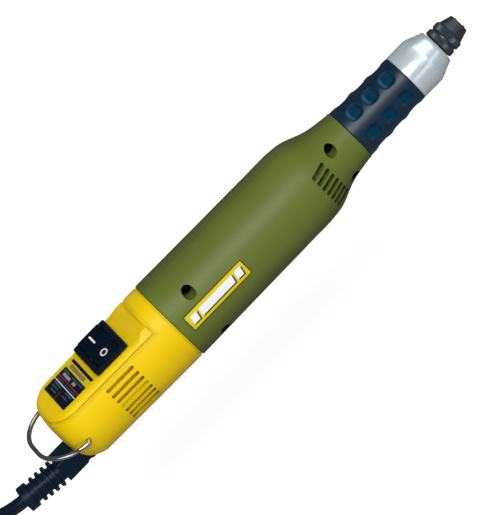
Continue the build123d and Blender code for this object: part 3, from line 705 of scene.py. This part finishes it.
def on_barrel(x, s, h):
    """s runs along the arc above the plate's centre line, h is above the plate's face."""
    # the face's radius grows from 17.2 at x = -100 by 0.3 every 38 mm towards -X
    r = 17.2 + (x + 100.0) / -38.0 * 0.3 + h
    angle = PLATE_ANGLE + s / PLATE_ARC_R
    return (x, -r * math.cos(angle), r * math.sin(angle))


def plate_print(name, quads, material, **steps):
    printed(name, quads, on_barrel, material, "housing", "name_plate_print", **steps)


border_s = PLATE_HALF - PLATE_BORDER
# painted shadow: a dark band along the plate's edge stands in for the shaded gap round the plate
plate_print("plate_painted_edge_shadow", [
    rect(PLATE_X0, PLATE_X1, border_s, PLATE_HALF),
    rect(PLATE_X0, PLATE_X1, -PLATE_HALF, -border_s),
    rect(PLATE_X0, PLATE_X0 + PLATE_BORDER, -border_s, border_s),
    rect(PLATE_X1 - PLATE_BORDER, PLATE_X1, -border_s, border_s),
], PLATE_GAP_SHADE, nu=16)

# a long slanted bar between two short ones, white with a black drop shadow
BARS = [(PLATE_X0 + 1.5, PLATE_X0 + 4.6), (PLATE_X0 + 5.9, PLATE_X1 - 6.9),
        (PLATE_X1 - 5.6, PLATE_X1 - 2.5)]
BAR_SLANT = 0.7
plate_print("plate_block_shadows",
            [rect(x0 + 0.42, x1 + 0.46, -1.95, 1.35, BAR_SLANT) for x0, x1 in BARS],
            BLACK_INK, thick=0.035, nu=12)
plate_print("plate_blocks", [rect(x0, x1, -1.4, 1.8, BAR_SLANT) for x0, x1 in BARS],
            WHITE_INK, thick=0.07, nu=12)

# ------------------------------------------------------------------ rating label print
LABEL_Z = 12.32                         # face of the label
FIELD_Y = (-9.7, 8.9)
INK_THICK = 0.03                        # of the lower layer, which the upper one lies on


def on_label(x, y, h):
    return (x, y, LABEL_Z + h)


def rounded_field(x0, x1, y0, y1, r, n=5):
    """A field with its two corners at x0 rounded, as strips along X."""
    quads = [rect(x0 + r, x1, y0, y1)]
    for k in range(n):
        a0, a1 = math.radians(90 * k / n), math.radians(90 * (k + 1) / n)
        xa, xb = x0 + r - r * math.cos(a0), x0 + r - r * math.cos(a1)
        inset_a, inset_b = r - r * math.sin(a0), r - r * math.sin(a1)
        quads.append([(xa, y0 + inset_a), (xb, y0 + inset_b), (xb, y1 - inset_b),
                      (xa, y1 - inset_a)])
    return quads


def label_print(name, quads, material, **layer):
    printed(name, quads, on_label, material, "housing", "label_print", **layer)


def label_top_print(name, rects, material, thick=0.02, **steps):
    """Print on the lower layer, from (x0, x1, y0, y1) rectangles."""
    quads = [rect(*sides) for sides in rects]
    label_print(name, quads, material, lift=INK_THICK, thick=thick, **steps)


label_print("label_field", rounded_field(-188.6, -177.2, *FIELD_Y, r=0.7), NAVY_INK, nu=8, nv=8)
label_top_print("label_white_lines", [(-183.0, -182.7, *FIELD_Y)], WHITE_INK)
label_top_print("label_red_lines", [(-181.2, -180.65, *FIELD_Y), (-188.2, -184.6, -0.4, 0.1)],
                RED_INK, thick=0.025)
label_top_print("label_grey_bars", [(-180.1, -178.9, 0.8, 6.8), (-180.1, -178.9, -4.0, -1.4)],
                GREY_INK)
label_top_print("label_dim_bars", [
    (-178.5, -178.0, -8.4, 1.0), (-178.5, -178.0, 3.2, 8.0), (-182.2, -181.8, -8.4, 1.2),
    (-182.2, -181.8, 2.4, 8.0), (-184.1, -183.5, 1.2, 7.6), (-185.4, -184.9, 2.0, 7.4),
    (-186.8, -186.3, 1.4, 6.2), (-184.1, -183.5, -8.0, -2.6), (-185.7, -185.2, -7.0, -2.2),
], DIM_INK)
label_print("label_gold_plate", [rect(-176.6, -174.8, -6.0, 7.2)], GOLD_INK)
GOLD_BARS_Y = (-5.5, -4.3, -3.1, -1.9, -0.7, 0.5, 1.7, 2.9, 4.1, 5.3, 6.4)
label_top_print("label_gold_bars", [(-176.3, -175.1, y, y + 0.5) for y in GOLD_BARS_Y],
                DIM_INK, nu=2, nv=1)
label_print("label_black_bar", [rect(-174.4, -173.2, -9.6, 8.8)], BLACK_INK)

# ------------------------------------------------------------------ rocker marks
ROCKER_PIVOT_Z = 12.4
ROCKER_TILT = math.radians(9.5)
ROCKER_FACE = 1.6                       # height of its middle above the pivot
ROCKER_BEND_Y, ROCKER_BEND_RISE = 4.4, 0.15     # gentle slope up to here
ROCKER_TIP_LENGTH, ROCKER_TIP_RISE = 4.3, 0.55  # steeper slope beyond
MARK_X = -163.55                        # shared centre of both marks
ON_HALF_WIDTH = 0.37
RING_Y, RING_INNER, RING_OUTER, RING_STEPS = -3.6, 1.02, 1.66, 36


def on_rocker(x, y, h):
    """Point at height h above the dished, tilted face."""
    out = abs(y)
    if out < ROCKER_BEND_Y:
        rise = ROCKER_BEND_RISE * out / ROCKER_BEND_Y
    else:
        rise = ROCKER_BEND_RISE + ROCKER_TIP_RISE * (out - ROCKER_BEND_Y) / ROCKER_TIP_LENGTH
    z = ROCKER_FACE + rise + h
    return (x, y * math.cos(ROCKER_TILT) - z * math.sin(ROCKER_TILT),
            ROCKER_PIVOT_Z + y * math.sin(ROCKER_TILT) + z * math.cos(ROCKER_TILT))


def rocker_print(name, quads, nu, nv):
    """Print sunk slightly into the face."""
    printed(name, quads, on_rocker, WHITE_INK, "rocker", "switch_plastic",
            lift=-0.02, thick=0.06, nu=nu, nv=nv)


def off_ring():
    def point(r, k):
        angle = 2 * math.pi * k / RING_STEPS
        return (MARK_X + r * math.cos(angle), RING_Y + r * math.sin(angle))

    return [[point(RING_INNER, k), point(RING_OUTER, k), point(RING_OUTER, k + 1),
             point(RING_INNER, k + 1)] for k in range(RING_STEPS)]


rocker_print("mark_on", [rect(MARK_X - ON_HALF_WIDTH, MARK_X + ON_HALF_WIDTH, 3.1, 7.1)],
             nu=2, nv=8)
rocker_print("mark_off", off_ring(), nu=1, nv=1)

# ------------------------------------------------------------------ cut end of the cable
CABLE_END = Vector((-260.85, 23.66, -13.81))
CABLE_AXIS = Vector((-0.796, 0.591, -0.128)).normalized()
CABLE_SIDE = CABLE_AXIS.cross(Vector((0, 0, 1))).normalized()
CABLE_UP = CABLE_AXIS.cross(CABLE_SIDE)
CORE_OFFSET = 1.15                      # from the cable's axis to each core
CORE_R, STRANDS_R = 0.98, 0.50


def stub(name, centre, inner_r, outer_r, end, material, start=-0.3, around=20):
    """Short round stub along the cable's axis, its outer rim a little rounded."""
    rows = [(start, inner_r), (start, outer_r), (end - 0.12, outer_r),
            (end - 0.03, outer_r - 0.05), (end, outer_r - 0.14), (end, inner_r)]
    verts = []
    for h, r in rows:
        for i in range(around):
            angle = 2 * math.pi * i / around
            verts.append(centre + CABLE_AXIS * h + CABLE_SIDE * (r * math.cos(angle))
                         + CABLE_UP * (r * math.sin(angle)))
    faces = ring_faces(len(rows), around)
    mesh_object(name, verts, faces, material, "housing", "black_rubber", sharp=40)


for colour, side, insulation in (("brown", -1, CORE_BROWN), ("blue", 1, LEAD)):
    centre = CABLE_END + CABLE_SIDE * (side * CORE_OFFSET)
    stub("cable_core_" + colour, centre, STRANDS_R, CORE_R, end=0.9, material=insulation)
    stub("cable_strands_" + colour, centre, 0.02, STRANDS_R, end=1.7, material=COPPER)

# ------------------------------------------------------------------ camera
TO_CHUCK = Vector((1, 0, 0))
TO_VIEWER = Vector((0, -0.819, 0.574)).normalized()
DOWN_ACROSS = Vector((0, -0.574, -0.819)).normalized()  # square to the two above
TO_SWITCH = -DOWN_ACROSS
TARGET = Vector((-104.5, -1.57, -2.24)) * MM


def placed(position, x_axis, y_axis, z_axis):
    return (Matrix.Translation(position)
            @ Matrix((x_axis, y_axis, z_axis)).transposed().to_4x4())


def add_camera():
    """Long lens, rolled so the tool lies diagonally, moved slightly towards the cable."""
    data = bpy.data.cameras.new("camera")
    camera = bpy.data.objects.new("camera", data)
    scene.collection.objects.link(camera)
    data.lens = 317.6
    data.sensor_width = 36.0
    data.clip_start = 0.01
    data.clip_end = 20.0
    right = (0.698 * TO_CHUCK + 0.716 * DOWN_ACROSS).normalized()
    up = (0.716 * TO_CHUCK - 0.698 * DOWN_ACROSS).normalized()
    distance, shift = 1.65, 0.0095
    position = TARGET + right.cross(up).normalized() * distance - TO_CHUCK * shift
    # turned back to the target after the move
    back = (position - TARGET).normalized()
    right = up.cross(back).normalized()
    camera.matrix_world = placed(position, right, back.cross(right).normalized(), back)
    scene.camera = camera


add_camera()


# ------------------------------------------------------------------ lights
def area(name, toward, power, size, distance=1.3, colour=(1, 1, 1)):
    """Area light aimed at the target.

    toward: parts of its direction to the viewer, the switch side and the chuck
    size: along the tool and round it
    """
    viewer, switch, chuck = toward
    out = (viewer * TO_VIEWER + switch * TO_SWITCH + chuck * TO_CHUCK).normalized()
    data = bpy.data.lights.new(name, "AREA")
    data.energy = power
    data.color = colour
    data.shape = "RECTANGLE"
    data.size, data.size_y = size
    light = bpy.data.objects.new(name, data)
    scene.collection.objects.link(light)
    along = (TO_CHUCK - out * TO_CHUCK.dot(out)).normalized()
    light.matrix_world = placed(TARGET + out * distance, along, out.cross(along), out)
    return light


area("key", (1.0, 0.24, 0.03), power=7.6, size=(0.56, 0.36), distance=1.1,
     colour=(1, 0.99, 0.98))

# fills give soft shade, no shine
for fill in (
        area("top_left", (0.5, 1.0, 0.25), power=1.2, size=(0.7, 0.7), colour=(0.97, 0.98, 1.0)),
        area("front_fill", (1.0, 0.3, 1.1), power=1.5, size=(0.6, 0.6)),
        area("rear_fill", (1.0, 0.1, -1.2), power=2.0, size=(0.6, 0.6)),
        area("low_front", (0.82, -0.50, 0.0), power=3.0, size=(0.9, 0.24)),
        area("back_fill", (-0.7, 0.9, 0.0), power=5.0, size=(1.4, 0.6), distance=1.4)):
    fill.visible_glossy = False

# broad panels that light only the bright metal
bright_metal = bpy.data.collections.new("bright_metal")
BRIGHT_PREFIXES = ("nose_collar", "chuck", "jaw", "hanging_bail", "spindle")
for name, piece in nodes.items():
    if name.startswith(BRIGHT_PREFIXES):
        bright_metal.objects.link(piece)
for piece in (sleeve, rear_ring):
    bright_metal.objects.link(piece)
for panel in (
        area("front_panel", (1.0, 0.74, 1.10), power=6.0, size=(0.5, 2.0),
             colour=(0.98, 0.99, 1.0)),
        area("rear_panel", (1.0, 0.25, -1.0), power=4.5, size=(0.6, 1.4)),
        area("low_panel", (0.5, -0.87, 0.45), power=9.0, size=(1.7, 1.4),
             colour=(0.96, 0.99, 1.0))):
    panel.light_linking.receiver_collection = bright_metal


# ------------------------------------------------------------------ world and floor
def add_world():
    """White behind the tool, but only a dim cool light on it."""
    world = bpy.data.worlds.new("studio")
    scene.world = world
    world.use_nodes = True
    g = Graph(world.node_tree)
    seen = g.add("ShaderNodeBackground", {"Color": (1, 1, 1, 1), "Strength": 1.0})[0]
    ambient = g.add("ShaderNodeBackground", {"Color": (0.95, 0.97, 1.0, 1), "Strength": 0.10})[0]
    camera_ray = g.add("ShaderNodeLightPath")["Is Camera Ray"]
    mixed = g.add("ShaderNodeMixShader", {0: camera_ray, 1: ambient, 2: seen})[0]
    g.add("ShaderNodeOutputWorld", {0: mixed})


def floor_material():
    """Pale to the camera, darker to other rays, clear from below."""
    material = bpy.data.materials.new("studio_floor")
    material.use_nodes = True
    g = Graph(material.node_tree)
    pale = g.add("ShaderNodeBsdfDiffuse", {"Color": (0.86, 0.87, 0.88, 1)})[0]
    glow = g.add("ShaderNodeEmission", {"Color": (1, 1, 1, 1), "Strength": 0.62})[0]
    dark = g.add("ShaderNodeBsdfDiffuse", {"Color": (0.30, 0.30, 0.31, 1)})[0]
    seen = g.add("ShaderNodeAddShader", {0: pale, 1: glow})[0]
    camera_ray = g.add("ShaderNodeLightPath")["Is Camera Ray"]
    top = g.add("ShaderNodeMixShader", {0: camera_ray, 1: dark, 2: seen})[0]
    clear = g.add("ShaderNodeBsdfTransparent")[0]
    below = g.add("ShaderNodeNewGeometry")["Backfacing"]
    surface = g.add("ShaderNodeMixShader", {0: below, 1: top, 2: clear})[0]
    g.add("ShaderNodeOutputMaterial", {0: surface})
    return material


def add_floor(half=6.0, z=-0.11):
    material = floor_material()
    mesh = bpy.data.meshes.new("studio_floor")
    corners = [(-half, -half, z), (half, -half, z), (half, half, z), (-half, half, z)]
    mesh.from_pydata(corners, [], [(0, 1, 2, 3)])
    floor = bpy.data.objects.new("studio_floor", mesh)
    scene.collection.objects.link(floor)
    mesh.materials.append(material)
    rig.stage(floor)


add_world()
add_floor()

scene.view_settings.view_transform = "Standard"
scene.view_settings.look = "None"
scene.view_settings.exposure = 0.0
scene.view_settings.gamma = 1.0

# the folder may be missing or read-only; the sizes are then not written
try:
    json.dump({"cad": cad_box, "visual": [list(v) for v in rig.bounds()]},
              open("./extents.json", "w"))
except OSError:
    pass
